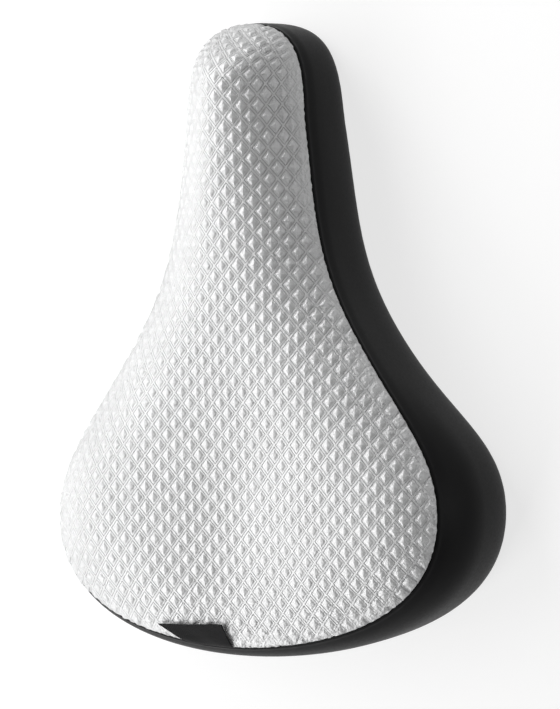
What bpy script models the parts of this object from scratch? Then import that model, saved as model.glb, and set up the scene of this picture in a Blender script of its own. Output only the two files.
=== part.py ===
"""Bike saddle cover: an embossed top panel sewn to a bulging side band with an elasticated hem.

Metres, +Z up, +Y towards the nose, +X to the rider's right. The hem lies on the floor, and the
origin is on the floor under the middle of the cover's box.
"""

import math

import bmesh
import bpy
import numpy as np
from mathutils import Matrix, Vector
from mathutils.geometry import interpolate_bezier

# The seam between panel and band, from above. Y places are measured from its rearmost point.
SEAM_LENGTH = 0.2715
NOSE_WIDTH = 0.060
NOSE_SETBACK = 0.046
NOSE_TAPER = math.radians(7.4)
WAIST_WIDTH = 0.110
WAIST_Y = 0.1348
WAIST_FLARE = math.radians(31.6)
WING_WIDTH = 0.191
WING_Y = 0.0558
# How far each stretch of the outline runs on before it bends to the next place.
TIP_ROUND = 0.0317
NOSE_ROUND_AHEAD = 0.0153
NOSE_ROUND_BEHIND = 0.0406
WAIST_ROUND_AHEAD = 0.036
WAIST_ROUND_BEHIND = 0.0443
WING_ROUND_AHEAD = 0.0275
WING_ROUND_BEHIND = 0.0422
REAR_ROUND = 0.0422

# The crown over the seam.
NOSE_SEAM_HEIGHT = 0.0345
REAR_SEAM_HEIGHT = 0.0633
CROWN_HEIGHT = 0.0655
WING_RISE = 0.004
WING_RISE_SPREAD = 0.050
SHOULDER_WIDTH = 0.045
NOSE_CROWN_POWER = 2.15
REAR_CROWN_POWER = 3.2

# The sheets and the embossing.
PANEL_THICKNESS = 0.0012
BAND_THICKNESS = 0.0012
PYRAMID_HEIGHT = 0.0016
PYRAMID_LENGTH = 0.00915
PYRAMID_WIDTH = 0.00765
EMBOSS_FADE = 0.005
TRIM_MARGIN = 0.004
SEAM_CLEARANCE = 0.0003
ALLOWANCE_DEPTH = 0.006
ALLOWANCE_THICKNESS = 0.0024

# The band, from the seam down to the hem. It stands proud of the seam by its bulge.
TIP_BULGE = 0.0
NOSE_BULGE = 0.0015
WAIST_BULGE = 0.0003
WING_BULGE = 0.0095
REAR_BULGE = 0.0066
BELLY_SHARE = 0.52
BELLY_ROUND = 0.4
SIDE_FLARE = 0.55
REAR_FLARE = 1.15
NOSE_UNDERTURN = 0.007
WING_UNDERTURN = 0.011
FOOT_ROUND = 0.88

# The hem channel and the elastic that runs in it.
ELASTIC_WIDTH = 0.005
ELASTIC_THICKNESS = 0.0012
HEM_CLEARANCE = 0.0003
HEM_CLOSURE = 0.002

# The bare tab sewn into the rear seam, left of the middle. X places are its corners.
TAB_TOP_LEFT = -0.0407
TAB_TOP_RIGHT = -0.0099
TAB_FOOT_LEFT = -0.0262
TAB_FOOT_RIGHT = -0.0031
TAB_REACH = 0.009
TAB_OVERLAP = 0.003
TAB_THICKNESS = 0.0007
TAB_CLEARANCE = 0.0006

# Facets of one side of the seam: round the tip, along the nose, along the waist, round the rear.
OUTLINE_STEPS = (8, 5, 7, 11)
NOSE_Y = SEAM_LENGTH - NOSE_SETBACK
MIDDLE_Y = (SEAM_LENGTH + TIP_BULGE - REAR_BULGE) / 2


def smooth(value):
    """Eases 0..1 in and out, and holds it there outside."""
    value = np.clip(value, 0.0, 1.0)
    return value * value * (3 - 2 * value)


def blend(before, after, share):
    return before + (after - before) * share


def heading(angle):
    """Direction in plan that runs rearwards and turns outwards by this angle."""
    return Vector((math.sin(angle), -math.cos(angle)))


def half_outline(steps):
    """Plan points of the right half of the seam, from the tip to the rear, and each point's place on the
    way: 0 at the tip, 1 at the nose, 2 at the waist, 3 at the wing and 4 at the rear."""
    tip = Vector((0, SEAM_LENGTH))
    nose = Vector((NOSE_WIDTH / 2, NOSE_Y))
    waist = Vector((WAIST_WIDTH / 2, WAIST_Y))
    wing = Vector((WING_WIDTH / 2, WING_Y))
    rear = Vector((0, 0))
    along_nose, along_waist, along_wing = heading(NOSE_TAPER), heading(WAIST_FLARE), heading(0)
    stretches = (
        (tip, tip + Vector((TIP_ROUND, 0)), nose - along_nose * NOSE_ROUND_AHEAD, nose),
        (nose, nose + along_nose * NOSE_ROUND_BEHIND, waist - along_waist * WAIST_ROUND_AHEAD, waist),
        (waist, waist + along_waist * WAIST_ROUND_BEHIND, wing - along_wing * WING_ROUND_AHEAD, wing),
        (wing, wing + along_wing * WING_ROUND_BEHIND, rear + Vector((REAR_ROUND, 0)), rear),
    )
    points, places = [], []
    for number, (stretch, count) in enumerate(zip(stretches, steps)):
        for step, point in enumerate(interpolate_bezier(*stretch, count + 1)[:-1]):
            points.append(point[:2])
            places.append(number + step / count)
    return np.array(points + [rear[:]]), np.array(places + [len(stretches)])


def whole_outline(steps):
    """The seam clockwise from the tip: right side, rear, left side."""
    points, places = half_outline(steps)
    left = points[-2:0:-1] * (-1, 1)
    return np.vstack([points, left]), np.concatenate([places, places[-2:0:-1]])


SEAM = whole_outline(OUTLINE_STEPS)[0]


def inset(points):
    """Distance of each plan point inside the seam, below zero where it is outside."""
    points = np.atleast_2d(points)
    starts, ends = SEAM, np.roll(SEAM, -1, axis=0)
    runs = ends - starts
    away = points[:, None] - starts[None]
    share = np.clip((away * runs).sum(2) / (runs * runs).sum(1), 0, 1)
    gaps = np.linalg.norm(away - share[:, :, None] * runs, axis=2).min(1)
    straddles = (starts[:, 1] > points[:, None, 1]) != (ends[:, 1] > points[:, None, 1])
    rising = np.where(runs[:, 1] == 0, 1, runs[:, 1])
    crossing = starts[:, 0] + away[:, :, 1] * runs[:, 0] / rising
    inside = (straddles & (points[:, None, 0] < crossing)).sum(1) % 2 == 1
    return np.where(inside, gaps, -gaps)


def seam_height(y):
    return blend(REAR_SEAM_HEIGHT, NOSE_SEAM_HEIGHT, y / SEAM_LENGTH)


SPINE_Y = np.linspace(0, SEAM_LENGTH, 181)
SPINE_INSET = inset(np.column_stack([np.zeros_like(SPINE_Y), SPINE_Y]))


def crown(points):
    """Height of the panel's base surface over each plan point inside the seam."""
    points = np.atleast_2d(points)
    x, y = points[:, 0], points[:, 1]
    forward = smooth((y - WING_Y) / (NOSE_Y - WING_Y))
    rise = WING_RISE * smooth(np.abs(x) / WING_RISE_SPREAD) * (1 - smooth((y - WING_Y) / (WAIST_Y - WING_Y)))
    top = CROWN_HEIGHT + rise - seam_height(y)
    rearward_half = np.clip(y, SHOULDER_WIDTH, NOSE_Y)
    shoulder = np.minimum(SHOULDER_WIDTH, np.interp(rearward_half, SPINE_Y, SPINE_INSET))
    share = np.clip(inset(points) / shoulder, -1, 1)
    power = blend(REAR_CROWN_POWER, NOSE_CROWN_POWER, forward)
    return seam_height(y) + top * (1 - (1 - share) ** power)


def crown_normal(points, step=0.0008):
    """Unit normal of the panel at each plan point."""
    points = np.atleast_2d(points)
    across = np.array([step, 0.0])
    along = np.array([0.0, step])
    slope_x = (crown(points + across) - crown(points - across)) / (2 * step)
    slope_y = (crown(points + along) - crown(points - along)) / (2 * step)
    normals = np.column_stack([-slope_x, -slope_y, np.ones(len(points))])
    return normals / np.linalg.norm(normals, axis=1)[:, None]


class FlatPattern:
    """The panel laid flat: v runs along the spine and u across it, both measured on the crown."""

    def __init__(self):
        spine = crown(np.column_stack([np.zeros_like(SPINE_Y), SPINE_Y]))
        steps = np.hypot(np.diff(SPINE_Y), np.diff(spine))
        self.spine_v = np.concatenate([[0], np.cumsum(steps)])
        half = half_outline(OUTLINE_STEPS)[0]
        wing = int(np.argmax(half[:, 0]))
        self.front, self.rear = half[: wing + 1], half[wing:]

    def half_width(self, y):
        front = np.interp(y, self.front[::-1, 1], self.front[::-1, 0])
        rear = np.interp(y, self.rear[::-1, 1], self.rear[::-1, 0])
        return front if y >= self.front[-1, 1] else rear

    def across(self, y):
        """Matching x and u from the spine out to the seam, at this y."""
        x = np.linspace(0, max(self.half_width(y), 1e-6), 60)
        z = crown(np.column_stack([x, np.full_like(x, y)]))
        u = np.concatenate([[0], np.cumsum(np.hypot(np.diff(x), np.diff(z)))])
        return x, u

    def flat(self, x, y):
        xs, us = self.across(y)
        return math.copysign(np.interp(abs(x), xs, us), x), np.interp(y, SPINE_Y, self.spine_v)

    def plan(self, u, v):
        y = np.interp(v, self.spine_v, SPINE_Y)
        xs, us = self.across(y)
        return math.copysign(np.interp(abs(u), us, xs), u), y

    def outline(self):
        return np.array([self.flat(x, y) for x, y in SEAM])

    def onto_seam(self, flat, plan):
        """Puts each point of the cut edge exactly on the seam's facet that it was cut along."""
        starts = self.outline()
        runs = np.roll(starts, -1, axis=0) - starts
        away = flat[:, None] - starts[None]
        share = np.clip((away * runs).sum(2) / (runs * runs).sum(1), 0, 1)
        gaps = np.linalg.norm(away - share[:, :, None] * runs, axis=2)
        nearest = gaps.argmin(1)
        rows = np.arange(len(flat))
        on_seam = SEAM[nearest] + share[rows, nearest][:, None] * (np.roll(SEAM, -1, axis=0) - SEAM)[nearest]
        return np.where(gaps[rows, nearest][:, None] < 1e-5, on_seam, plan)


def seat(points):
    """Moves points from the seam's own frame to the object's."""
    return np.asarray(points, float) - (0, MIDDLE_Y, 0)


def mesh_object(name, mesh, collection, material=None):
    obj = bpy.data.objects.new(name, mesh)
    collection.objects.link(obj)
    if material:
        mesh.materials.append(material)
    return obj


def make_material(name, color, roughness):
    material = bpy.data.materials.new(name)
    material.use_nodes = True
    shader = material.node_tree.nodes["Principled BSDF"]
    shader.inputs["Base Color"].default_value = (*color, 1)
    shader.inputs["Roughness"].default_value = roughness
    material.diffuse_color = (*color, 1)
    return material


def embossed_sheet(pattern, side, rear, front):
    """Flat rectangle of sheet with a pyramid on each cell of a diamond lattice."""
    to_lattice = Matrix((
        (PYRAMID_WIDTH / 2, -PYRAMID_WIDTH / 2, 0, 0),
        (PYRAMID_LENGTH / 2, PYRAMID_LENGTH / 2, 0, (rear + front) / 2),
        (0, 0, 1, 0),
        (0, 0, 0, 1),
    ))
    cells = 2 * math.ceil(side / PYRAMID_WIDTH + (front - rear) / 2 / PYRAMID_LENGTH) + 2
    sheet = bmesh.new()
    bmesh.ops.create_grid(sheet, x_segments=cells, y_segments=cells, size=cells / 2)
    bmesh.ops.transform(sheet, matrix=to_lattice, verts=sheet.verts)
    edges = (((side, 0, 0), (1, 0, 0)), ((-side, 0, 0), (-1, 0, 0)),
             ((0, front, 0), (0, 1, 0)), ((0, rear, 0), (0, -1, 0)))
    for place, outward in edges:
        everything = sheet.verts[:] + sheet.edges[:] + sheet.faces[:]
        bmesh.ops.bisect_plane(sheet, geom=everything, plane_co=place, plane_no=outward, clear_outer=True)
    tops = sheet.faces[:]
    underside = bmesh.ops.extrude_face_region(sheet, geom=tops)["geom"]
    lowered = [item for item in underside if isinstance(item, bmesh.types.BMVert)]
    bmesh.ops.translate(sheet, verts=lowered, vec=(0, 0, -PANEL_THICKNESS))
    bmesh.ops.recalc_face_normals(sheet, faces=sheet.faces)
    tops = [face for face in sheet.faces if face.normal.z > 0.9]
    poked = bmesh.ops.poke(sheet, faces=tops)
    for apex in poked["verts"]:
        x, y = pattern.plan(apex.co.x, apex.co.y)
        apex.co.z += PYRAMID_HEIGHT * float(smooth(inset((x, y))[0] / EMBOSS_FADE))
    return sheet


def trim_prism(outline, height):
    """Closed prism over a flat outline, for trimming the sheet."""
    prism = bmesh.new()
    verts = [prism.verts.new((u, v, -height)) for u, v in outline]
    floor = prism.faces.new(verts)
    raised = bmesh.ops.extrude_face_region(prism, geom=[floor])["geom"]
    lifted = [item for item in raised if isinstance(item, bmesh.types.BMVert)]
    bmesh.ops.translate(prism, verts=lifted, vec=(0, 0, 2 * height))
    bmesh.ops.recalc_face_normals(prism, faces=prism.faces)
    return prism


def make_panel(collection, cutters, material):
    """The top panel: embossed flat, cut to its pattern, then shaped over the crown."""
    pattern = FlatPattern()
    outline = pattern.outline()
    side, front = np.abs(outline).max(0) + TRIM_MARGIN
    flat_sheet = embossed_sheet(pattern, side, -TRIM_MARGIN, front)
    mesh = bpy.data.meshes.new("top_panel")
    flat_sheet.to_mesh(mesh)
    flat_sheet.free()
    panel = mesh_object("top_panel", mesh, collection, material)

    cutter_mesh = bpy.data.meshes.new("panel_pattern")
    prism = trim_prism(outline, 4 * (PANEL_THICKNESS + PYRAMID_HEIGHT))
    prism.to_mesh(cutter_mesh)
    prism.free()
    cutter = mesh_object("panel_pattern", cutter_mesh, cutters)
    cutter.hide_render = True
    cutter.display_type = "WIRE"
    trim = panel.modifiers.new("trim", "BOOLEAN")
    trim.operation = "INTERSECT"
    trim.solver = "EXACT"
    trim.object = cutter
    trimmed = bpy.data.meshes.new_from_object(panel.evaluated_get(bpy.context.evaluated_depsgraph_get()))
    panel.modifiers.clear()
    panel.data = trimmed
    bpy.data.objects.remove(cutter)

    flat = np.array([vert.co for vert in trimmed.vertices])
    plan = pattern.onto_seam(flat[:, :2], np.array([pattern.plan(u, v) for u, v in flat[:, :2]]))
    draped = np.column_stack([plan, crown(plan)]) + crown_normal(plan) * flat[:, 2:]
    trimmed.vertices.foreach_set("co", seat(draped).ravel())
    trimmed.update()
    return panel


class BandColumn:
    """One upright section of the band, at one point of the seam. It works in o, outwards, and z, up."""

    def __init__(self, seam, outward, place):
        self.seam, self.outward, self.place = seam, outward, place
        self.top = float(seam_height(seam[1]))
        eased = blend(math.floor(place), math.ceil(place), smooth(place % 1))

        def at(values):
            return float(np.interp(eased, range(len(values)), values))

        self.bulge = at((TIP_BULGE, NOSE_BULGE, WAIST_BULGE, WING_BULGE, REAR_BULGE))
        self.underturn = at((NOSE_UNDERTURN, NOSE_UNDERTURN, WING_UNDERTURN, WING_UNDERTURN, WING_UNDERTURN))
        self.flare = at((SIDE_FLARE, SIDE_FLARE, SIDE_FLARE, SIDE_FLARE, REAR_FLARE))
        normal = crown_normal(seam)[0]
        lean = float(normal[:2] @ outward)
        self.up = Vector((lean, normal[2])).normalized()
        self.on = Vector((self.up.y, -self.up.x))

    def in_space(self, points):
        return [(*(self.seam + self.outward * o), z) for o, z in points]

    def wall(self):
        """Outer face from the seam down to the floor."""
        start = Vector((0, self.top)) + self.on * SEAM_CLEARANCE
        belly = Vector((self.bulge, self.top * BELLY_SHARE))
        foot = Vector((self.bulge - self.underturn, 0))
        upper = (self.top - belly.y) * BELLY_ROUND
        flare = Vector((self.bulge * self.flare, -upper))
        first = interpolate_bezier(start, start + flare, belly + Vector((0, upper)), belly, 5)
        lower = belly + Vector((0, -belly.y * FOOT_ROUND))
        second = interpolate_bezier(belly, lower, foot + Vector((self.underturn * 0.7, 0)), foot, 6)
        return [Vector(point[:2]) for point in first[:-1] + second]

    def hem(self):
        """Outer face of the hem fold, from the wall's foot round to its closed edge."""
        radius = BAND_THICKNESS + ELASTIC_THICKNESS / 2 + HEM_CLEARANCE
        length = ELASTIC_WIDTH + 2 * HEM_CLEARANCE
        center = Vector((self.bulge - self.underturn - length - HEM_CLOSURE, radius))
        turn = [center + Vector((-math.cos(angle), math.sin(angle))) * radius
                for angle in np.radians((-90, -35, 35, 90))]
        shut = 2 * BAND_THICKNESS + HEM_CLEARANCE
        return turn + [center + Vector((length, radius)), Vector((center.x + length + HEM_CLOSURE, shut))]

    def profile(self):
        """Closed section: the outer face, then back along the inner face."""
        outer = self.wall() + self.hem()
        inner = []
        run = 0.0
        for number, point in enumerate(outer):
            before = outer[max(number - 1, 0)]
            after = outer[min(number + 1, len(outer) - 1)]
            run += (point - before).length
            into = (point - before).normalized() if number else Vector((0, 0))
            out = (after - point).normalized() if number < len(outer) - 1 else Vector((0, 0))
            along = (into + out).normalized()
            inward = Vector((along.y, -along.x))
            if number == 0:
                inward = -self.up
            mitre = max((into + out).length / 2, 0.5) if 0 < number < len(outer) - 1 else 1.0
            thick = ALLOWANCE_THICKNESS if run < ALLOWANCE_DEPTH else BAND_THICKNESS
            inner.append(point + inward * thick / mitre)
        return outer + inner[::-1]

    def elastic(self):
        """Section of the elastic in its channel."""
        inner_edge = self.bulge - self.underturn - ELASTIC_WIDTH - HEM_CLEARANCE - HEM_CLOSURE
        low = BAND_THICKNESS + HEM_CLEARANCE
        high = low + ELASTIC_THICKNESS
        outer_edge = inner_edge + ELASTIC_WIDTH
        return [Vector(corner) for corner in
                ((inner_edge, low), (inner_edge, high), (outer_edge, high), (outer_edge, low))]


def band_columns():
    places = whole_outline(OUTLINE_STEPS)[1]
    tangents = np.roll(SEAM, -1, axis=0) - np.roll(SEAM, 1, axis=0)
    outward = np.column_stack([-tangents[:, 1], tangents[:, 0]])
    outward /= np.linalg.norm(outward, axis=1)[:, None]
    return [BandColumn(*column) for column in zip(SEAM, outward, places)]


def loft_ring(name, rings, collection, material):
    """Closed tube through like sections, joined in a loop."""
    count = len(rings[0])
    loft = bmesh.new()
    verts = [[loft.verts.new(point) for point in seat(ring)] for ring in rings]
    for this, following in zip(verts, verts[1:] + verts[:1]):
        for first in range(count):
            second = (first + 1) % count
            loft.faces.new((this[first], this[second], following[second], following[first]))
    bmesh.ops.recalc_face_normals(loft, faces=loft.faces)
    mesh = bpy.data.meshes.new(name)
    loft.to_mesh(mesh)
    loft.free()
    return mesh_object(name, mesh, collection, material)


def make_tab(columns, collection, material):
    """The bare tab: it lies on the panel and is sewn down over the seam."""
    across, up = 7, 5
    tab = bmesh.new()
    bmesh.ops.create_grid(tab, x_segments=across, y_segments=up, size=0.5)
    rear = SEAM[(SEAM[:, 1] < WING_Y) & (np.abs(SEAM[:, 0]) < WING_WIDTH / 3)]
    rear = rear[np.argsort(rear[:, 0])]
    corner = SEAM_CLEARANCE + TAB_CLEARANCE
    wall = next(column for column in columns if column.place == 4).wall()
    below = REAR_SEAM_HEIGHT - TAB_OVERLAP
    foot_out = np.interp(-below, [-point.y for point in wall], [point.x for point in wall]) + 2 * TAB_CLEARANCE
    for vert in tab.verts:
        side, row = vert.co.x + 0.5, round((vert.co.y + 0.5) * up)
        foot_x = blend(TAB_FOOT_LEFT, TAB_FOOT_RIGHT, side)
        foot = np.array([foot_x, np.interp(foot_x, rear[:, 0], rear[:, 1])])
        if row == 0:
            vert.co = (foot_x, foot[1] - foot_out, seam_height(foot[1]) - TAB_OVERLAP)
        elif row == 1:
            vert.co = (foot_x, foot[1] - corner, seam_height(foot[1]) + TAB_CLEARANCE)
        else:
            share = (row - 2) / (up - 2)
            top = np.array([blend(TAB_TOP_LEFT, TAB_TOP_RIGHT, side), TAB_REACH])
            plan = blend(foot + (0, corner), top, share)
            vert.co = np.append(plan, crown(plan)) + crown_normal(plan)[0] * (PYRAMID_HEIGHT + TAB_CLEARANCE)
    for vert in tab.verts:
        vert.co.y -= MIDDLE_Y
    bmesh.ops.recalc_face_normals(tab, faces=tab.faces)
    if sum(face.normal.z for face in tab.faces) < 0:
        bmesh.ops.reverse_faces(tab, faces=tab.faces)
    mesh = bpy.data.meshes.new("rear_label")
    tab.to_mesh(mesh)
    tab.free()
    label = mesh_object("rear_label", mesh, collection, material)
    shell = label.modifiers.new("thickness", "SOLIDIFY")
    shell.thickness = TAB_THICKNESS
    shell.offset = 1


def main():
    for obj in list(bpy.data.objects):
        bpy.data.objects.remove(obj)
    parts = bpy.data.collections.new("bike_saddle_cover")
    cutters = bpy.data.collections.new("cutters")
    cutters.hide_render = True
    for collection in (parts, cutters):
        bpy.context.scene.collection.children.link(collection)

    pearl = make_material("pearl_vinyl", (0.86, 0.87, 0.88), 0.28)
    black = make_material("black_vinyl", (0.012, 0.012, 0.013), 0.38)
    webbing = make_material("elastic_webbing", (0.03, 0.03, 0.03), 0.8)
    ribbon = make_material("tab_ribbon", (0.02, 0.02, 0.021), 0.6)

    make_panel(parts, cutters, pearl)
    columns = band_columns()
    loft_ring("side_band", [column.in_space(column.profile()) for column in columns], parts, black)
    loft_ring("hem_elastic", [column.in_space(column.elastic()) for column in columns], parts, webbing)
    make_tab(columns, parts, ribbon)


main()
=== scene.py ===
import math
import bpy
import numpy as np
from mathutils import Matrix, Vector
from mathutils.geometry import interpolate_bezier


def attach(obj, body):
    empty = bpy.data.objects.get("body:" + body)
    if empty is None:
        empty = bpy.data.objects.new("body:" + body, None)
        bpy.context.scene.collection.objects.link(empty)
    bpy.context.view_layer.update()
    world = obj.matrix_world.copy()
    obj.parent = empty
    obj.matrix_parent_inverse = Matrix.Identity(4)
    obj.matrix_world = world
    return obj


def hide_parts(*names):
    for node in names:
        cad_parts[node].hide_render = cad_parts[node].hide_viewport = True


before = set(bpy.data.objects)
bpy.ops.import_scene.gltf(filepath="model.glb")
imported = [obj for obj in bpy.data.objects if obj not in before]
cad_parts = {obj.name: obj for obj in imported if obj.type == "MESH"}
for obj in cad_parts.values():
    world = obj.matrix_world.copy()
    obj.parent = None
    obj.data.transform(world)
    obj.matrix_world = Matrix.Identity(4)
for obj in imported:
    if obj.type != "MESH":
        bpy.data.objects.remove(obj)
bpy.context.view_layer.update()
print("frame loaded")

# Everything is in metres and degrees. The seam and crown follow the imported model.
seam = {
    "length": 0.2715, "rearY": -0.13245,
    "noseWidth": 0.060, "noseSetback": 0.046, "noseTaper": 7.4,
    "waistWidth": 0.110, "waistY": 0.00235, "waistFlare": 31.6,
    "wingWidth": 0.191, "wingY": -0.07665,
    "tipRound": 0.0317, "noseRound": (0.0153, 0.0406), "waistRound": (0.036, 0.0443),
    "wingRound": (0.0275, 0.0422), "rearRound": 0.0422,
    "steps": (44, 28, 40, 56),
}
crown = {
    "noseSeam": 0.0345, "rearSeam": 0.0633, "height": 0.0655, "wingRise": 0.004, "riseSpread": 0.050,
    "shoulder": 0.045, "nosePower": 2.15, "rearPower": 3.2, "spineCount": 181,
}
pattern = {"rows": 360, "columns": 64, "evenShares": 97}


def smooth(value):
    value = np.clip(value, 0.0, 1.0)
    return value * value * (3 - 2 * value)


def mix(before, after, share):
    return before + (after - before) * share


def unit(vectors):
    return vectors / np.linalg.norm(vectors, axis=-1, keepdims=True)


# A wavy value between about -1 and 1 that closes on itself after one turn round the seam.
def wobble(turn, waves, start=0.0):
    value = np.sin(2 * math.pi * (turn * waves + start))
    value = value + 0.6 * np.sin(2 * math.pi * (turn * round(waves * 0.62) + 0.37 + 2 * start))
    return (value + 0.5 * np.sin(2 * math.pi * (turn * round(waves * 1.43) + 0.71 - start))) / 2.1


def heading(angle):
    angle = math.radians(angle)
    return Vector((math.sin(angle), -math.cos(angle)))


# The right half of the seam from tip to rear, with each point's place:
# 0 tip, 1 nose, 2 waist, 3 wing, 4 rear.
def halfSeam():
    tipY = seam["rearY"] + seam["length"]
    tip, rear = Vector((0, tipY)), Vector((0, seam["rearY"]))
    nose = Vector((seam["noseWidth"] / 2, tipY - seam["noseSetback"]))
    waist = Vector((seam["waistWidth"] / 2, seam["waistY"]))
    wing = Vector((seam["wingWidth"] / 2, seam["wingY"]))
    alongNose, alongWaist, alongWing = heading(seam["noseTaper"]), heading(seam["waistFlare"]), heading(0)
    noseIn, noseOut = seam["noseRound"]
    waistIn, waistOut = seam["waistRound"]
    wingIn, wingOut = seam["wingRound"]
    stretches = (
        (tip, tip + Vector((seam["tipRound"], 0)), nose - alongNose * noseIn, nose),
        (nose, nose + alongNose * noseOut, waist - alongWaist * waistIn, waist),
        (waist, waist + alongWaist * waistOut, wing - alongWing * wingIn, wing),
        (wing, wing + alongWing * wingOut, rear + Vector((seam["rearRound"], 0)), rear),
    )
    points, places = [], []
    for number, (stretch, count) in enumerate(zip(stretches, seam["steps"])):
        for step, point in enumerate(interpolate_bezier(*stretch, count + 1)[:-1]):
            points.append(point[:2])
            places.append(number + step / count)
    return np.array(points + [rear[:]]), np.array(places + [4.0])


halfPoints, halfPlaces = halfSeam()
seamPoints = np.vstack([halfPoints, halfPoints[-2:0:-1] * (-1, 1)])
seamPlaces = np.concatenate([halfPlaces, halfPlaces[-2:0:-1]])
seamRuns = np.roll(seamPoints, -1, axis=0) - seamPoints
seamSteps = np.linalg.norm(seamRuns, axis=1)
seamTurn = np.concatenate([[0], np.cumsum(seamSteps)[:-1]]) / seamSteps.sum()


# How far each plan point is inside the seam (below zero outside), and how far round the seam it is.
def fromSeam(points):
    inside, turns = [], []
    for few in np.array_split(points, len(points) // 4000 + 1):
        away = few[:, None] - seamPoints[None]
        share = np.clip((away * seamRuns).sum(2) / (seamSteps ** 2), 0, 1)
        gaps = np.linalg.norm(away - share[:, :, None] * seamRuns, axis=2)
        nearest = gaps.argmin(1)
        rows = np.arange(len(few))
        turns.append(seamTurn[nearest] + share[rows, nearest] * seamSteps[nearest] / seamSteps.sum())
        halfWidth = np.interp(few[:, 1], halfPoints[::-1, 1], halfPoints[::-1, 0], left=0, right=0)
        inside.append(np.where(np.abs(few[:, 0]) < halfWidth, 1, -1) * gaps[rows, nearest])
    return np.concatenate(inside), np.concatenate(turns)


def seamHeight(y):
    return mix(crown["rearSeam"], crown["noseSeam"], (y - seam["rearY"]) / seam["length"])


spineY = np.linspace(seam["rearY"], seam["rearY"] + seam["length"], crown["spineCount"])
spineInset = fromSeam(np.column_stack([np.zeros(crown["spineCount"]), spineY]))[0]


def crownHeight(points):
    x, y = points[:, 0], points[:, 1]
    noseY = seam["rearY"] + seam["length"] - seam["noseSetback"]
    forward = smooth((y - seam["wingY"]) / (noseY - seam["wingY"]))
    behind = 1 - smooth((y - seam["wingY"]) / (seam["waistY"] - seam["wingY"]))
    rise = crown["wingRise"] * smooth(np.abs(x) / crown["riseSpread"]) * behind
    along = np.clip(y, seam["rearY"] + crown["shoulder"], noseY)
    shoulder = np.minimum(crown["shoulder"], np.interp(along, spineY, spineInset))
    share = np.clip(fromSeam(points)[0] / shoulder, -1, 1)
    power = mix(crown["rearPower"], crown["nosePower"], forward)
    return seamHeight(y) + (crown["height"] + rise - seamHeight(y)) * (1 - (1 - share) ** power)


def crownNormal(points, step=0.0008):
    across, along = np.array([step, 0]), np.array([0, step])
    slopeX = (crownHeight(points + across) - crownHeight(points - across)) / (2 * step)
    slopeY = (crownHeight(points + along) - crownHeight(points - along)) / (2 * step)
    return unit(np.column_stack([-slopeX, -slopeY, np.ones(len(points))]))


# The panel laid flat: v runs along the spine and u across it. The rows crowd towards both ends.
rowCount, columnCount = pattern["rows"], pattern["columns"]
rowTurn = np.linspace(0, math.pi, rowCount)
rowY = seam["rearY"] + seam["length"] / 2 * (1 - np.cos(rowTurn))
rowHalf = np.interp(rowY, halfPoints[::-1, 1], halfPoints[::-1, 0])
rowShare = np.sin(np.linspace(0, math.pi / 2, columnCount))
tableX = np.maximum(rowHalf, 1e-7)[:, None] * rowShare
tableZ = crownHeight(np.column_stack([tableX.ravel(), np.repeat(rowY, columnCount)]))
tableZ = tableZ.reshape(rowCount, columnCount)
tableU = np.zeros((rowCount, columnCount))
tableU[:, 1:] = np.cumsum(np.hypot(np.diff(tableX, axis=1), np.diff(tableZ, axis=1)), axis=1)
rowV = np.concatenate([[0], np.cumsum(np.hypot(np.diff(rowY), np.diff(tableZ[:, 0])))])
evenShare = np.linspace(0, 1, pattern["evenShares"])
toShare = np.array([np.interp(evenShare, arcs / arcs[-1], rowShare) for arcs in tableU])


# Where points of the flat pattern come to lie in plan.
def flatToPlan(flat):
    lastShare = pattern["evenShares"] - 1
    y = np.interp(flat[:, 1], rowV, rowY)
    row = np.interp(y, rowY, np.arange(rowCount))
    low = np.clip(row.astype(int), 0, rowCount - 2)
    part = row - low
    widest = mix(tableU[low, -1], tableU[low + 1, -1], part)
    place = np.clip(np.abs(flat[:, 0]) / np.maximum(widest, 1e-7), 0, 1) * lastShare
    left = np.clip(place.astype(int), 0, lastShare - 1)
    over = place - left
    share = mix(mix(toShare[low, left], toShare[low, left + 1], over),
                mix(toShare[low + 1, left], toShare[low + 1, left + 1], over), part)
    return np.column_stack([np.sign(flat[:, 0]) * share * mix(rowHalf[low], rowHalf[low + 1], part), y])


seamAcross = np.interp(seamPoints[:, 1], rowY, tableU[:, -1])
flatOutline = np.column_stack([np.sign(seamPoints[:, 0]) * seamAcross,
                               np.interp(seamPoints[:, 1], rowY, rowV)])
print("pattern laid flat")


def deselectAll():
    if bpy.context.object and bpy.context.object.mode != "OBJECT":
        bpy.ops.object.mode_set(mode="OBJECT")
    bpy.ops.object.select_all(action="DESELECT")


def pick(obj):
    deselectAll()
    obj.select_set(True)
    bpy.context.view_layer.objects.active = obj


def readPoints(mesh):
    points = np.zeros(len(mesh.vertices) * 3)
    mesh.vertices.foreach_get("co", points)
    return points.reshape(-1, 3)


# Selects the faces that face up, in edit mode.
def selectTops(obj):
    bpy.ops.object.mode_set(mode="OBJECT")
    mesh = obj.data
    normals = np.zeros(len(mesh.polygons) * 3)
    mesh.polygons.foreach_get("normal", normals)
    mesh.vertices.foreach_set("select", np.zeros(len(mesh.vertices), bool))
    mesh.edges.foreach_set("select", np.zeros(len(mesh.edges), bool))
    mesh.polygons.foreach_set("select", normals.reshape(-1, 3)[:, 2] > 0.9)
    bpy.ops.object.mode_set(mode="EDIT")


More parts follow.
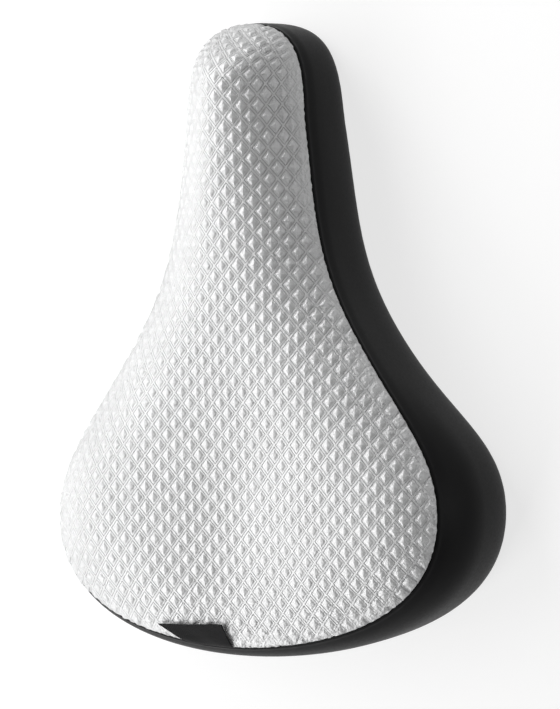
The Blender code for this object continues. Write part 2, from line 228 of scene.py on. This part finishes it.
panel = {
    "thickness": 0.0012, "cellWidth": 0.00765, "cellLength": 0.00915,
    "ribWidth": 0.00070, "grooveWidth": 0.00042, "grooveDepth": 0.00026,
    "marginRun": 0.00058, "marginRise": 0.00002, "stepRun": 0.00044, "stepRise": 0.00050,
    "height": 0.00072, "peakWidth": 0.0006, "peakRise": 0.00008, "ridgeRound": 0.00014,
    "fade": (0.0024, 0.0066), "fadeStart": 0.001, "fadeWaves": 17,
    "edgeRoll": 0.0018, "edgeDip": 0.0014,
    "edgeBulge": 0.0005, "edgeWave": 0.00014, "edgeWaves": 168, "bulgeReach": 0.0025,
    "pucker": 0.00028, "puckers": 190, "puckerReach": 0.0022, "strain": 0.016,
}


# A grid turned by 45 degrees and squeezed gives the diamond cells, each then embossed.
def stampCells():
    wide, long = panel["cellWidth"], panel["cellLength"]
    side, front = np.abs(flatOutline).max(0)
    cells = 2 * math.ceil(side / wide + front / 2 / long) + 4
    deselectAll()
    bpy.ops.mesh.primitive_grid_add(x_subdivisions=cells, y_subdivisions=cells, size=cells)
    sheet = bpy.context.object
    sheet.name = "topPanel"
    sheet.rotation_euler.z = math.radians(45)
    bpy.ops.object.transform_apply(rotation=True)
    sheet.scale = (wide / math.sqrt(2), long / math.sqrt(2), 1)
    sheet.location.y = front / 2
    bpy.ops.object.transform_apply(location=True, scale=True)

    # Cells well outside the pattern go first.
    mesh = sheet.data
    centers = np.array([face.center[:2] for face in mesh.polygons])
    plan = flatToPlan(centers)
    edge = np.interp(plan[:, 1], rowY, tableU[:, -1])
    beyond = (np.abs(centers[:, 0]) > edge + 2.2 * wide)
    beyond |= (centers[:, 1] < -1.2 * long) | (centers[:, 1] > front + 1.2 * long)
    bpy.ops.object.mode_set(mode="EDIT")
    bpy.ops.mesh.select_all(action="DESELECT")
    bpy.ops.object.mode_set(mode="OBJECT")
    mesh.polygons.foreach_set("select", beyond)
    bpy.ops.object.mode_set(mode="EDIT")
    bpy.ops.mesh.delete(type="FACE")
    bpy.ops.mesh.select_all(action="SELECT")
    bpy.ops.mesh.extrude_region_move(TRANSFORM_OT_translate={"value": (0, 0, -panel["thickness"])})
    bpy.ops.mesh.select_all(action="SELECT")
    bpy.ops.mesh.normals_make_consistent(inside=False)
    selectTops(sheet)

    # From a cell's edge inwards: a flat rib, a groove, a narrow margin, a steep step,
    # then the low pyramid with a blunt peak.
    half = panel["grooveWidth"] / 2
    inradius = wide * long / 2 / math.hypot(wide, long)
    low = panel["marginRun"] + panel["stepRun"]
    flank = inradius - panel["ribWidth"] / 2 - 2 * half - panel["peakWidth"] / 2 - low
    bpy.ops.mesh.inset(thickness=panel["ribWidth"] / 2, depth=0, use_individual=True)
    bpy.ops.mesh.inset(thickness=half, depth=-panel["grooveDepth"], use_individual=True)
    bpy.ops.mesh.inset(thickness=half, depth=panel["grooveDepth"], use_individual=True)
    bpy.ops.mesh.inset(thickness=panel["marginRun"], depth=panel["marginRise"], use_individual=True)
    bpy.ops.mesh.inset(thickness=panel["stepRun"], depth=panel["stepRise"], use_individual=True)
    rise = panel["height"] - panel["marginRise"] - panel["stepRise"]
    bpy.ops.mesh.inset(thickness=flank, depth=rise, use_individual=True)
    bpy.ops.mesh.poke(offset=panel["peakRise"])
    bpy.ops.object.mode_set(mode="OBJECT")

    # The pyramid's ridges are rounded.
    points = readPoints(sheet.data)
    ends = np.zeros(len(sheet.data.edges) * 2, int)
    sheet.data.edges.foreach_get("vertices", ends)
    heights = points[ends.reshape(-1, 2), 2]
    risen = np.abs(heights[:, 0] - heights[:, 1]) > panel["peakRise"] * 1.5
    ridges = risen & (heights.min(1) > -panel["grooveDepth"] / 2) & (heights.max(1) < panel["height"] * 1.01)
    sheet.data.vertices.foreach_set("select", np.zeros(len(points), bool))
    sheet.data.polygons.foreach_set("select", np.zeros(len(sheet.data.polygons), bool))
    sheet.data.edges.foreach_set("select", ridges)
    bpy.ops.object.mode_set(mode="EDIT")
    bpy.ops.mesh.select_mode(type="EDGE")
    bpy.ops.mesh.bevel(offset=panel["ridgeRound"], segments=1, affect="EDGES")
    bpy.ops.mesh.select_mode(type="FACE")
    bpy.ops.object.mode_set(mode="OBJECT")
    return sheet


def cutToPattern(sheet):
    mesh = bpy.data.meshes.new("pattern")
    mesh.from_pydata([(u, v, -0.01) for u, v in flatOutline], [], [tuple(range(len(flatOutline)))])
    cutter = bpy.data.objects.new("pattern", mesh)
    bpy.context.collection.objects.link(cutter)
    pick(cutter)
    bpy.ops.object.mode_set(mode="EDIT")
    bpy.ops.mesh.select_all(action="SELECT")
    bpy.ops.mesh.extrude_region_move(TRANSFORM_OT_translate={"value": (0, 0, 0.02)})
    bpy.ops.mesh.select_all(action="SELECT")
    bpy.ops.mesh.normals_make_consistent(inside=False)
    bpy.ops.object.mode_set(mode="OBJECT")
    pick(sheet)
    cut = sheet.modifiers.new("cut", "BOOLEAN")
    cut.operation = "INTERSECT"
    cut.solver = "EXACT"
    cut.object = cutter
    bpy.ops.object.modifier_apply(modifier="cut")
    bpy.data.objects.remove(cutter)


def addUv(mesh, places):
    layer = mesh.uv_layers.get("flat") or mesh.uv_layers.new(name="flat")
    corners = np.zeros(len(mesh.loops), int)
    mesh.loops.foreach_get("vertex_index", corners)
    layer.data.foreach_set("uv", places[corners].astype(np.float32).ravel())
    for extra in [other.name for other in mesh.uv_layers if other.name != "flat"]:
        mesh.uv_layers.remove(mesh.uv_layers[extra])


# Lays the cut sheet over the crown. Faces below its middle get the backing cloth.
def drapeOverCrown(sheet):
    mesh = sheet.data
    flat = readPoints(mesh)
    under = flat[:, 2] < -panel["thickness"] / 2
    addUv(mesh, flat[:, :2])
    backs = np.array([under[list(face.vertices)].all() for face in mesh.polygons])
    plan = flatToPlan(flat[:, :2])
    inside, turn = fromSeam(plan)
    inside = np.maximum(inside, 0)

    # The embossing fades towards the seam over a width that wanders and is larger at the rear.
    near, far = panel["fade"]
    rearward = smooth(1 - np.abs(turn - 0.5) / 0.16)
    wander = smooth(0.3 + 0.7 * wobble(turn, panel["fadeWaves"], 0.2))
    width = mix(near, far, np.maximum(wander, 0.6 * rearward))
    uneven = 1 + 0.06 * np.sin(flat[:, 0] * 310 + 3 * np.sin(flat[:, 1] * 90)) * np.sin(flat[:, 1] * 270)
    lift = flat[:, 2] * np.where(under, 1, smooth((inside - panel["fadeStart"]) / width) * uneven)

    # The edge rolls down into the seam, puckered and a little swollen.
    roll = 1 - inside / panel["edgeRoll"]
    dip = panel["edgeDip"] * (1 - np.sqrt(1 - np.clip(roll, 0, 1) ** 2))
    pucker = panel["pucker"] * wobble(turn, panel["puckers"], 0.4) * np.exp(-inside / panel["puckerReach"])
    normals = crownNormal(plan)
    draped = np.column_stack([plan, crownHeight(plan)]) + normals * (lift - dip + pucker)[:, None]
    outward = unit(normals[:, :2] + 1e-9)
    bulge = panel["edgeBulge"] + panel["edgeWave"] * wobble(turn, panel["edgeWaves"], 0.15)
    bulge = bulge * np.exp(-(inside / panel["bulgeReach"]) ** 2)
    draped[:, :2] += outward * bulge[:, None]
    mesh.vertices.foreach_set("co", draped.ravel())

    # The groove bottoms get painted shade through a vertex attribute, and strain sets the crumple.
    paintedShade = np.where(under, 0, np.clip(-flat[:, 2] / panel["grooveDepth"], 0, 1) * smooth(inside / near))
    for name, values in (("paintedShade", paintedShade), ("strain", np.exp(-inside / panel["strain"]))):
        mesh.attributes.new(name, "FLOAT", "POINT").data.foreach_set("value", values.astype(np.float32))
    mesh.materials.append(pearlVinyl)
    mesh.materials.append(panelBacking)
    mesh.polygons.foreach_set("material_index", backs.astype(np.int32))
    mesh.update()
    pick(sheet)
    bpy.ops.object.shade_smooth_by_angle(angle=math.radians(42))
    even = sheet.modifiers.new("even", "WEIGHTED_NORMAL")
    even.keep_sharp = True
    bpy.ops.object.modifier_apply(modifier="even")


band = {
    "thickness": 0.0012, "allowance": 0.0024, "allowanceDepth": 0.006, "allowanceEase": 0.0008, "gap": 0.0003,
    "bulge": (0.0, 0.0015, 0.0003, 0.0095, 0.0066), "underturn": (0.007, 0.007, 0.011, 0.011, 0.011),
    "flare": (0.55, 0.55, 0.55, 0.55, 1.15), "bellyShare": 0.52, "bellyRound": 0.4, "footRound": 0.88,
    "upperSteps": 22, "lowerSteps": 18,
    "lipRoll": 0.0016, "lipDip": 0.0013, "lipSink": 0.0008, "sinkReach": 0.009,
    "lipCrest": 0.0002, "crestPlace": 1.15, "crestWidth": 0.0009, "lipWobble": 0.0001, "lipWobbles": 110,
    "gather": 0.0009, "gatherHeight": 0.016, "gathers": 118,
}
hem = {
    "elasticWidth": 0.005, "elasticThickness": 0.0012, "elasticRound": 0.0002,
    "clearance": 0.0003, "closure": 0.002,
}


# One upright section of the band, in steps outwards and up, from the seam to the hem.
# Bulge, underturn and flare are given at the seam's places, from tip to rear.
class Section:
    def __init__(self, point, outward, place, turn):
        self.point, self.outward, self.turn = point, outward, turn
        eased = mix(math.floor(place), math.ceil(place), smooth(place % 1))
        self.bulge, self.underturn, self.flare = (
            float(np.interp(eased, range(5), band[name])) for name in ("bulge", "underturn", "flare"))
        self.top = float(seamHeight(point[1]))
        normal = crownNormal(point[None])[0]
        self.up = Vector((float(normal[:2] @ outward), normal[2])).normalized()

    def wall(self):
        start = Vector((0, self.top)) + Vector((self.up.y, -self.up.x)) * band["gap"]
        belly = Vector((self.bulge, self.top * band["bellyShare"]))
        foot = Vector((self.bulge - self.underturn, 0))
        upper = (self.top - belly.y) * band["bellyRound"]
        first = interpolate_bezier(start, start + Vector((self.bulge * self.flare, -upper)),
                                   belly + Vector((0, upper)), belly, band["upperSteps"])
        lower = belly - Vector((0, belly.y * band["footRound"]))
        second = interpolate_bezier(belly, lower, foot + Vector((self.underturn * 0.7, 0)), foot,
                                    band["lowerSteps"])
        rest = [Vector(point[:2]) for point in first[1:-1] + second]

        # The lip has closer points than the rest.
        begin, following = start, rest[0]
        lip = [begin + (following - begin) * share for share in (0, 0.12, 0.28, 0.48, 0.72)]
        lip += [mix(rest[0], rest[1], share) for share in (0, 0.25, 0.5, 0.75)]
        return lip + [rest[1], mix(rest[1], rest[2], 0.5)] + rest[2:]

    def fold(self):
        radius = band["thickness"] + hem["elasticThickness"] / 2 + hem["clearance"]
        length = hem["elasticWidth"] + 2 * hem["clearance"]
        center = Vector((self.bulge - self.underturn - length - hem["closure"], radius))
        turned = [center + Vector((-math.cos(angle), math.sin(angle))) * radius
                  for angle in np.radians((-90, -60, -30, 0, 30, 60, 90))]
        shut = 2 * band["thickness"] + hem["clearance"]
        back = center + Vector((length, radius))
        return turned + [back, mix(back, Vector((back.x + hem["closure"], shut)), 0.5),
                         Vector((back.x + hem["closure"], shut))]

    # The section's closed line: down the outer face and back up the inner one.
    def outline(self):
        outer = self.wall() + self.fold()
        inner, dipped, runs = [], [], []
        run = 0.0
        for number, point in enumerate(outer):
            before, after = outer[max(number - 1, 0)], outer[min(number + 1, len(outer) - 1)]
            run += (point - before).length
            coming = (point - before).normalized() if number else Vector((0, 0))
            going = (after - point).normalized() if number < len(outer) - 1 else Vector((0, 0))
            along = (coming + going).normalized()
            inward = Vector((along.y, -along.x)) if number else -self.up
            between = 0 < number < len(outer) - 1
            mitre = max((coming + going).length / 2, 0.5) if between else 1.0
            folded = 1 - smooth((run - band["allowanceDepth"]) / band["allowanceEase"])
            thick = mix(band["thickness"], band["allowance"], folded)
            inner.append(point + inward * float(thick) / mitre)
            roll = np.clip(1 - run / band["lipRoll"], 0, 1)
            dip = band["lipDip"] * (1 - math.sqrt(1 - roll ** 2))
            crest = math.exp(-((run - band["crestPlace"] * band["lipRoll"]) / band["crestWidth"]) ** 2)
            shake = band["lipWobble"] * float(wobble(self.turn, band["lipWobbles"], 0.1))
            wave = crest * (band["lipCrest"] + shake)
            sink = band["lipSink"] * float(1 - smooth(run / band["sinkReach"]))
            dipped.append(point - self.up * (dip + sink) - inward * wave)
            runs.append(run)
        return dipped + inner[::-1], runs + runs[::-1]

    def elastic(self):
        left = self.bulge - self.underturn - hem["elasticWidth"] - hem["clearance"] - hem["closure"]
        low = band["thickness"] + hem["clearance"]
        sides = [left + hem["elasticWidth"] * share for share in (0, 0.04, 0.35, 0.65, 0.96, 1)]
        high = low + hem["elasticThickness"]
        rounding = (hem["elasticRound"], 0, 0, 0, 0, hem["elasticRound"])
        return ([Vector((side, low + trim)) for side, trim in zip(sides, rounding)]
                + [Vector((side, high - trim)) for side, trim in zip(sides[::-1], rounding)])

    # The gathers lift the lower edge off the floor in folds, the elastic with it.
    def inSpace(self, points):
        fold = 0.5 + 0.5 * float(wobble(self.turn, band["gathers"], 0.3))
        placed = []
        for point in points:
            low = float(smooth(1 - point.y / band["gatherHeight"]))
            inwards = float(smooth((self.bulge - point.x) / max(self.underturn, 0.001)))
            height = point.y + band["gather"] * fold * low * inwards
            placed.append((*(self.point + self.outward * point.x), height))
        return placed


# Two sections to each step of the seam, each square to the line through its neighbours.
def makeSections():
    finer, reach = [], 3
    for number in range(len(seamPoints)):
        following = (number + 1) % len(seamPoints)
        for share in (0, 0.5):
            place = mix(seamPlaces[number], seamPlaces[following], share)
            finer.append((mix(seamPoints[number], seamPoints[following], share), place,
                          seamTurn[number] + share * seamSteps[number] / seamSteps.sum()))
    points = np.array([point for point, place, turn in finer])
    tangents = unit(np.roll(points, -reach, axis=0) - np.roll(points, reach, axis=0))
    outward = np.column_stack([-tangents[:, 1], tangents[:, 0]])
    return [Section(point, out, place, turn) for (point, place, turn), out in zip(finer, outward)]


# A closed tube through the rings, with its own flat coordinates: along the seam and round the section.
def loftRing(name, rings, widths, turns, around):
    count, total = len(rings[0]), len(rings)
    faces, corners = [], []
    for this in range(total):
        following = (this + 1) % total
        nextTurn = turns[following] if following else 1.0
        for first in range(count):
            second = (first + 1) % count
            faces.append((this * count + first, this * count + second,
                          following * count + second, following * count + first))
            corners += [(turns[this] * around, widths[this][first]),
                        (turns[this] * around, widths[this][second]),
                        (nextTurn * around, widths[following][second]),
                        (nextTurn * around, widths[following][first])]
    mesh = bpy.data.meshes.new(name)
    mesh.from_pydata([point for ring in rings for point in ring], [], faces)
    layer = mesh.uv_layers.new(name="flat")
    layer.data.foreach_set("uv", np.array(corners, np.float32).ravel())
    obj = bpy.data.objects.new(name, mesh)
    bpy.context.collection.objects.link(obj)
    pick(obj)
    bpy.ops.object.mode_set(mode="EDIT")
    bpy.ops.mesh.select_all(action="SELECT")
    bpy.ops.mesh.normals_make_consistent(inside=False)
    bpy.ops.object.mode_set(mode="OBJECT")
    bpy.ops.object.shade_smooth_by_angle(angle=math.radians(50))
    return obj


def makeBand(sections):
    outlines = [section.outline() for section in sections]
    rings = [section.inSpace(points) for section, (points, runs) in zip(sections, outlines)]
    obj = loftRing("sideBand", rings, [runs for points, runs in outlines],
                   [section.turn for section in sections], seamSteps.sum())
    obj.data.materials.append(blackVinyl)
    obj.data.materials.append(bandBacking)
    count = len(outlines[0][0])
    backs = np.array([count // 2 <= number % count < count - 1 for number in range(len(obj.data.polygons))])
    obj.data.polygons.foreach_set("material_index", backs.astype(np.int32))
    return obj


def makeElastic(sections):
    profiles = [section.elastic() for section in sections]
    rings = [section.inSpace(points) for section, points in zip(sections, profiles)]
    widths = [[0.001 * number for number in range(len(profiles[0]))]] * len(sections)
    obj = loftRing("hemElastic", rings, widths, [section.turn for section in sections], seamSteps.sum())
    obj.data.materials.append(webbing)
    return obj


label = {
    "topLeft": -0.0402, "topRight": -0.0080, "footLeft": -0.0262, "footRight": -0.0040,
    "reach": 0.0101, "thickness": 0.0007, "lift": 0.0006, "swell": 0.0002, "edgeRound": 0.0002,
    "flatWidth": 0.0115, "flatLength": 0.031, "stepsAcross": 30, "stepsUp": 20,
}


# The tab rises from the seam on to the embossing and follows the panel under it.
def makeLabel():
    deselectAll()
    bpy.ops.mesh.primitive_grid_add(x_subdivisions=label["stepsAcross"], y_subdivisions=label["stepsUp"],
                                    size=1)
    obj = bpy.context.object
    obj.name = "rearLabel"
    rear = seamPoints[seamPlaces > 3.3]  # the seam behind the wings
    rear = rear[np.argsort(rear[:, 0])]
    points = readPoints(obj.data)
    placed, uv = [], []
    for x, y, z in points:
        side, share = x + 0.5, y + 0.5
        footX = mix(label["footLeft"], label["footRight"], side)
        foot = np.array([footX, np.interp(footX, rear[:, 0], rear[:, 1])])
        top = np.array([mix(label["topLeft"], label["topRight"], side), seam["rearY"] + label["reach"]])
        uv.append((label["flatLength"] * side, label["flatWidth"] * share))
        plan = mix(foot, top, share)[None]
        roll = np.clip(1 - fromSeam(plan)[0] / panel["edgeRoll"], 0, 1)[0]
        lift = label["lift"] + (panel["height"] + 0.4 * label["lift"]) * smooth(share * 2.5)
        dip = panel["edgeDip"] * (1 - math.sqrt(1 - roll ** 2))
        lift += label["swell"] * math.sin(9 * side + 3 * share) - dip
        placed.append(np.append(plan[0], crownHeight(plan)) + crownNormal(plan)[0] * lift)
    obj.data.vertices.foreach_set("co", np.array(placed).ravel())
    addUv(obj.data, np.array(uv))
    obj.data.materials.append(ribbon)
    obj.data.update()
    pick(obj)
    shell = obj.modifiers.new("shell", "SOLIDIFY")
    shell.thickness = label["thickness"]
    shell.offset = 1
    bpy.ops.object.modifier_apply(modifier="shell")
    rounded = obj.modifiers.new("rounded", "BEVEL")
    rounded.width = label["edgeRound"]
    rounded.segments = 2
    rounded.limit_method = "ANGLE"
    rounded.angle_limit = math.radians(50)
    bpy.ops.object.modifier_apply(modifier="rounded")
    bpy.ops.object.shade_smooth_by_angle(angle=math.radians(40))
    return obj


def addNode(tree, kind, inputs=(), **settings):
    node = tree.nodes.new(kind)
    for name, value in settings.items():
        setattr(node, name, value)
    for name, value in dict(inputs).items():
        if isinstance(value, bpy.types.NodeSocket):
            tree.links.new(value, node.inputs[name])
        else:
            node.inputs[name].default_value = value
    return node


def newGroup(name, inputs, outputs):
    tree = bpy.data.node_groups.new(name, "ShaderNodeTree")
    for socket, kind, value in inputs:
        tree.interface.new_socket(socket, in_out="INPUT", socket_type=kind).default_value = value
    for socket, kind in outputs:
        tree.interface.new_socket(socket, in_out="OUTPUT", socket_type=kind)
    return tree, tree.nodes.new("NodeGroupInput"), tree.nodes.new("NodeGroupOutput")


# Fine pebbled grain with a soft unevenness below it, as cast vinyl has.
def makeGrainGroup():
    tree, given, out = newGroup("vinylGrain", [
        ("Scale", "NodeSocketFloat", 1800.0), ("Grain", "NodeSocketFloat", 0.1),
        ("Depth", "NodeSocketFloat", 0.0001), ("Crumple", "NodeSocketFloat", 0.0),
    ], [("Normal", "NodeSocketVector"), ("Mottle", "NodeSocketFloat"), ("Fine", "NodeSocketFloat")])
    place = addNode(tree, "ShaderNodeTexCoord").outputs["Object"]
    pebbles = addNode(tree, "ShaderNodeTexVoronoi", {"Vector": place, "Scale": given.outputs["Scale"]},
                      feature="SMOOTH_F1")
    fine = addNode(tree, "ShaderNodeTexNoise", {"Vector": place, "Scale": 900.0, "Detail": 4.0})
    mottle = addNode(tree, "ShaderNodeTexNoise", {"Vector": place, "Scale": 38.0, "Detail": 3.0})
    bump = addNode(tree, "ShaderNodeBump", {
        "Strength": given.outputs["Grain"], "Distance": given.outputs["Depth"],
        "Height": pebbles.outputs["Distance"]})
    dents = addNode(tree, "ShaderNodeTexNoise", {"Vector": place, "Scale": 560.0, "Detail": 3.0})
    bump = addNode(tree, "ShaderNodeBump", {
        "Strength": given.outputs["Crumple"], "Distance": 0.0012,
        "Height": dents.outputs["Fac"], "Normal": bump.outputs["Normal"]})
    tree.links.new(bump.outputs["Normal"], out.inputs["Normal"])
    tree.links.new(mottle.outputs["Fac"], out.inputs["Mottle"])
    tree.links.new(fine.outputs["Fac"], out.inputs["Fine"])
    return tree


# Plain weave in the sheet's own flat coordinates.
def makeWeaveGroup():
    tree, given, out = newGroup("weave", [
        ("Threads", "NodeSocketFloat", 2400.0), ("Across", "NodeSocketFloat", 1.0),
        ("Depth", "NodeSocketFloat", 0.0002),
    ], [("Normal", "NodeSocketVector"), ("Threads", "NodeSocketFloat")])
    coords = addNode(tree, "ShaderNodeUVMap", uv_map="flat")
    parts = addNode(tree, "ShaderNodeSeparateXYZ", {"Vector": coords.outputs["UV"]})
    waves = []
    for axis, ratio in (("X", True), ("Y", False)):
        angle = addNode(tree, "ShaderNodeMath", {0: parts.outputs[axis], 1: given.outputs["Threads"]},
                        operation="MULTIPLY")
        if ratio:
            angle = addNode(tree, "ShaderNodeMath", {0: angle.outputs[0], 1: given.outputs["Across"]},
                            operation="MULTIPLY")
        waves.append(addNode(tree, "ShaderNodeMath", {0: angle.outputs[0]}, operation="SINE"))
    over = addNode(tree, "ShaderNodeMath", {0: waves[0].outputs[0], 1: waves[1].outputs[0]},
                   operation="MULTIPLY")
    height = addNode(tree, "ShaderNodeMath", {0: over.outputs[0], 1: 0.5, 2: 0.5}, operation="MULTIPLY_ADD")
    bump = addNode(tree, "ShaderNodeBump", {"Strength": 0.8, "Distance": given.outputs["Depth"],
                                            "Height": height.outputs[0]})
    tree.links.new(bump.outputs["Normal"], out.inputs["Normal"])
    tree.links.new(height.outputs[0], out.inputs["Threads"])
    return tree


def newMaterial(name):
    material = bpy.data.materials.new(name)
    material.use_nodes = True
    tree = material.node_tree
    return material, tree, tree.nodes["Principled BSDF"]


def blendColors(tree, amount, first, second):
    first, second = [(*color, 1) if isinstance(color, tuple) else color for color in (first, second)]
    return addNode(tree, "ShaderNodeMix", {0: amount, 6: first, 7: second}, data_type="RGBA").outputs[2]


def spread(tree, value, low, high, atLow, atHigh):
    node = addNode(tree, "ShaderNodeMapRange", {"Value": value, "From Min": low, "From Max": high,
                                                "To Min": atLow, "To Max": atHigh})
    return node.outputs["Result"]


# A piece without the two attributes reads zero for both, and stays even.
def makeVinyl(name, look):
    material, tree, shader = newMaterial(name)
    surface = addNode(tree, "ShaderNodeGroup", node_tree=grainGroup)
    surface.inputs["Scale"].default_value = look["scale"]
    surface.inputs["Grain"].default_value = look["grain"]
    paintedShade = addNode(tree, "ShaderNodeAttribute", attribute_name="paintedShade")
    strain = addNode(tree, "ShaderNodeAttribute", attribute_name="strain")
    crumple = spread(tree, strain.outputs["Fac"], 0, 1, 0.3 * look["crumple"], look["crumple"])
    tree.links.new(crumple, surface.inputs["Crumple"])
    amount = spread(tree, surface.outputs["Mottle"], 0.3, 0.7, 0, 1)
    color = blendColors(tree, amount, look["dark"], look["pale"])
    # Painted shade: a third of the dark tone, laid into the groove bottoms and where the surface turns away.
    shadeColor = tuple(0.35 * value for value in look["dark"])
    depth = spread(tree, paintedShade.outputs["Fac"], 0, 1, 0, look["shadeStrength"])
    shaded = blendColors(tree, depth, color, shadeColor)
    if look["turned"]:  # painted shade: the colour darkens where the surface turns away from the eye
        edge = addNode(tree, "ShaderNodeLayerWeight")
        facing = spread(tree, edge.outputs["Facing"], 0.55, 1, 0, look["turned"])
        shaded = blendColors(tree, facing, shaded, shadeColor)
    tree.links.new(shaded, shader.inputs["Base Color"])
    rough = spread(tree, surface.outputs["Fine"], 0.3, 0.7, look["rough"] - 0.04, look["rough"] + 0.06)
    tree.links.new(rough, shader.inputs["Roughness"])
    tree.links.new(surface.outputs["Normal"], shader.inputs["Normal"])
    shader.inputs["Specular IOR Level"].default_value = look["shine"]
    shader.inputs["Metallic"].default_value = look["pearl"]
    shader.inputs["Coat Weight"].default_value = look["coat"]
    shader.inputs["Coat Roughness"].default_value = look["coatRough"]
    return material


def makeCloth(name, look):
    material, tree, shader = newMaterial(name)
    surface = addNode(tree, "ShaderNodeGroup", node_tree=weaveGroup)
    surface.inputs["Threads"].default_value = look["threads"]
    surface.inputs["Across"].default_value = look["across"]
    color = blendColors(tree, surface.outputs["Threads"], look["dark"], look["pale"])
    tree.links.new(color, shader.inputs["Base Color"])
    tree.links.new(surface.outputs["Normal"], shader.inputs["Normal"])
    shader.inputs["Roughness"].default_value = look["rough"]
    shader.inputs["Specular IOR Level"].default_value = 0.2
    shader.inputs["Sheen Weight"].default_value = look["sheen"]
    return material


grainGroup = makeGrainGroup()
weaveGroup = makeWeaveGroup()
pearlVinyl = makeVinyl("pearlVinyl", {
    "dark": (0.81, 0.812, 0.815), "pale": (0.86, 0.862, 0.865), "rough": 0.50, "shine": 0.36,
    "coat": 0.05, "coatRough": 0.22, "scale": 2600, "grain": 0.05, "crumple": 1.0,
    "pearl": 0.22, "shadeStrength": 0.45, "turned": 0.4,
})
blackVinyl = makeVinyl("blackVinyl", {
    "dark": (0.0165, 0.0165, 0.0170), "pale": (0.0215, 0.0215, 0.0220), "rough": 0.42, "shine": 0.045,
    "coat": 0.0, "coatRough": 0.22, "scale": 1500, "grain": 0.12, "crumple": 0.0,
    "pearl": 0.0, "shadeStrength": 0.45, "turned": 0.0,
})
panelBacking = makeCloth("panelBacking", {
    "dark": (0.30, 0.30, 0.31), "pale": (0.46, 0.46, 0.47), "rough": 0.85, "threads": 4200, "across": 1.3,
    "sheen": 0.2,
})
bandBacking = makeCloth("bandBacking", {
    "dark": (0.015, 0.015, 0.016), "pale": (0.035, 0.035, 0.036), "rough": 0.85, "threads": 4200,
    "across": 1.3, "sheen": 0.2,
})
webbing = makeCloth("webbing", {
    "dark": (0.02, 0.02, 0.02), "pale": (0.05, 0.05, 0.05), "rough": 0.8, "threads": 3600, "across": 0.5,
    "sheen": 0.2,
})
ribbon = makeCloth("ribbon", {
    "dark": (0.006, 0.006, 0.0065), "pale": (0.012, 0.012, 0.0125), "rough": 0.65, "threads": 9000,
    "across": 0.6, "sheen": 0.03,
})
print("materials made")

topPanel = stampCells()
print("cells stamped:", len(topPanel.data.polygons), "faces")
cutToPattern(topPanel)
drapeOverCrown(topPanel)
print("panel draped:", len(topPanel.data.polygons), "faces")
sections = makeSections()
sideBand = makeBand(sections)
hemElastic = makeElastic(sections)
rearLabel = makeLabel()
print("band, elastic and label made")

standsFor = (
    (topPanel, "top_panel", "pearl_vinyl"), (sideBand, "side_band", "black_vinyl"),
    (hemElastic, "hem_elastic", "elastic_webbing"), (rearLabel, "rear_label", "tab_ribbon"),
)
for piece, node, slotName in standsFor:
    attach(piece, "root")
    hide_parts(node)

# The band's runs from seam to hem, at every twentieth section.
bandRuns = [section.outline()[1] for section in sections[::20]]

ground = {"size": 8, "color": 0.31, "bounce": 0.22, "glow": 0.75}
lamps = {
    "key": {"place": (-1.09, 0.16, 1.12), "size": (1.5, 1.5), "power": 16.0},
    "noseLamp": {"place": (-0.45, 0.75, 0.55), "size": (0.5, 0.5), "power": 5.1},
    "rearLamp": {"place": (-0.45, -0.75, 0.55), "size": (0.5, 0.5), "power": 5.1},
    "rim": {"place": (1.3, 0.12, 0.09), "size": (0.6, 0.14), "power": 2.6},
}
studio = {"light": 0.09, "lampsAimAt": (0, 0, 0.05)}
# The photo's own view, from about 30 degrees to the right of straight above.
viewpoint = {"target": (0.0182, -0.0058, 0.050), "distance": 1.6, "turn": (-3.08, 30.0, -2.48), "lens": 186.9}


# The floor glows to near white for the camera and in reflections only, and keeps the shadow.
def makeFloor():
    deselectAll()
    bpy.ops.mesh.primitive_plane_add(size=ground["size"])
    floor = bpy.context.object
    floor.name = "floor"
    material, tree, shader = newMaterial("floor")
    paths = addNode(tree, "ShaderNodeLightPath")
    seen = paths.outputs["Is Camera Ray"]
    for kind in ("Is Glossy Ray", "Is Transmission Ray"):
        either = addNode(tree, "ShaderNodeMath", {0: seen, 1: paths.outputs[kind]}, operation="MAXIMUM")
        seen = either.outputs[0]
    color = blendColors(tree, seen, (ground["bounce"],) * 3, (ground["color"],) * 3)
    glow = blendColors(tree, seen, (0, 0, 0), (ground["glow"],) * 3)
    tree.links.new(color, shader.inputs["Base Color"])
    tree.links.new(glow, shader.inputs["Emission Color"])
    shader.inputs["Emission Strength"].default_value = 1.0
    shader.inputs["Roughness"].default_value = 0.9
    shader.inputs["Specular IOR Level"].default_value = 0.0
    floor.data.materials.append(material)


def addLamp(name, place, size, power):
    deselectAll()
    bpy.ops.object.light_add(type="AREA", location=place)
    lamp = bpy.context.object
    lamp.name = name
    lamp.data.shape = "RECTANGLE"
    lamp.data.size, lamp.data.size_y = size
    lamp.data.energy = power
    toObject = Vector(studio["lampsAimAt"]) - Vector(place)
    lamp.rotation_euler = toObject.to_track_quat("-Z", "Y").to_euler()


makeFloor()
for name, lamp in lamps.items():
    addLamp(name, **lamp)
world = bpy.data.worlds.new("studio")
bpy.context.scene.world = world
world.use_nodes = True
background = world.node_tree.nodes["Background"]
background.inputs["Color"].default_value = (1, 1, 1, 1)
background.inputs["Strength"].default_value = studio["light"]

turnX, turnY, turnZ = viewpoint["turn"]
turn = Matrix.Identity(3)
for axis, angle in (("Y", turnY), ("X", turnX), ("Z", turnZ)):
    turn = turn @ Matrix.Rotation(math.radians(angle), 3, axis)
deselectAll()
bpy.ops.object.camera_add(location=Vector(viewpoint["target"]) + turn.col[2] * viewpoint["distance"],
                          rotation=turn.to_euler())
viewer = bpy.context.object
viewer.name = "viewer"
viewer.data.lens = viewpoint["lens"]
viewer.data.clip_start, viewer.data.clip_end = 0.05, 20
bpy.context.scene.camera = viewer
bpy.context.scene.view_settings.view_transform = "Standard"
print("stage, lamps and camera set")
